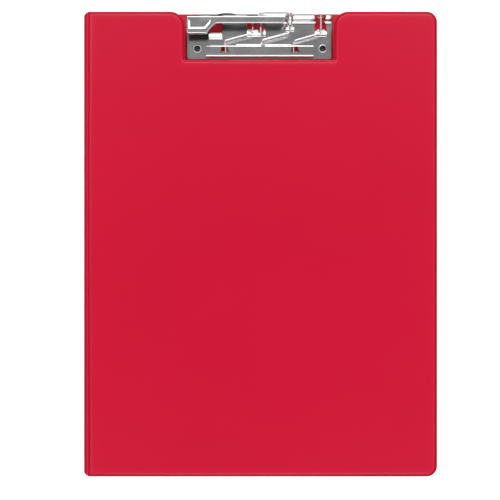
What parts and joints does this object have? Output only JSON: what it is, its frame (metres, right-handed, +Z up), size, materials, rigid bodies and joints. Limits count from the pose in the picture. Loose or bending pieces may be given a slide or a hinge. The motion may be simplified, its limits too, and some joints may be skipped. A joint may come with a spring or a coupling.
{
  "type": "clipboard folder",
  "caption": "Closed A4 clipboard folder: foil-covered back board, spine and notched front cover, with a nickel-plated lever clip riveted to the back board.",
  "frame": {"origin": "Middle of the underside of the closed folder's overall box, on the face it lies on.", "axes": "+X across the folder away from the spine, +Y along the folder towards the clip, +Z up out of the front cover."},
  "size_m": [0.2399, 0.3173, 0.018],
  "materials": {
    "red_foil": "satin vinyl foil",
    "red_lining": "fine-grained vinyl foil",
    "greyboard": "raw greyboard, sealed inside the foil",
    "nickel_sheet": "nickel-plated steel sheet, semi-gloss",
    "nickel_wire": "nickel-plated steel wire, bright",
    "nickel_rivet": "nickel-plated semi-tubular rivet, bright"
  },
  "bodies": {
    "back": {"back_core": "greyboard", "back_foil": "red_foil", "back_lining": "red_lining", "base_plate": "nickel_sheet", "eyelet_left": "nickel_rivet", "eyelet_right": "nickel_rivet"},
    "spine": {"spine_core": "greyboard", "spine_foil": "red_foil", "spine_lining": "red_lining", "hinge_web_back": "red_foil", "hinge_web_cover": "red_foil"},
    "cover": {"cover_core": "greyboard", "cover_foil": "red_foil", "cover_lining": "red_lining"},
    "lever_arm": {"lever": "nickel_sheet", "crank_wire": "nickel_wire"},
    "spring_left": {"spring_wire_left": "nickel_wire"},
    "spring_right": {"spring_wire_right": "nickel_wire"},
    "bar": {"clamp_bar": "nickel_sheet"}
  },
  "joints": [
    {"name": "spine_hinge", "type": "hinge", "parent": "back", "child": "spine", "pos_m": [-0.1182, 0, 0.0024], "axis": [0, -1, 0], "range_deg": [0, 180]},
    {"name": "cover_hinge", "type": "hinge", "parent": "spine", "child": "cover", "pos_m": [-0.1182, 0, 0.0156], "axis": [0, -1, 0], "range_deg": [0, 180]},
    {"name": "lever_pivot", "type": "hinge", "parent": "back", "child": "lever_arm", "pos_m": [0.0205, 0.15, 0.01], "axis": [0, 1, 0], "range_deg": [0, 45], "stiffness_Nm_per_rad": 0.5, "springref_deg": -20.05},
    {"name": "spring_left_pivot", "type": "hinge", "parent": "back", "child": "spring_left", "pos_m": [-0.00515, 0.15, 0.01], "axis": [0, 1, 0], "range_deg": [0, 45]},
    {"name": "spring_right_pivot", "type": "hinge", "parent": "back", "child": "spring_right", "pos_m": [0.04155, 0.15, 0.01], "axis": [0, 1, 0], "range_deg": [0, 45]},
    {"name": "bar_pivot", "type": "hinge", "parent": "lever_arm", "child": "bar", "pos_m": [0.0019, 0.134, 0.0059], "axis": [0, 1, 0], "range_deg": [-45, 0]}
  ],
  "couplings": [
    {"joint": "spring_left_pivot", "follows": "lever_pivot", "ratio": 1},
    {"joint": "spring_right_pivot", "follows": "lever_pivot", "ratio": 1},
    {"joint": "bar_pivot", "follows": "lever_pivot", "ratio": -1}
  ]
}
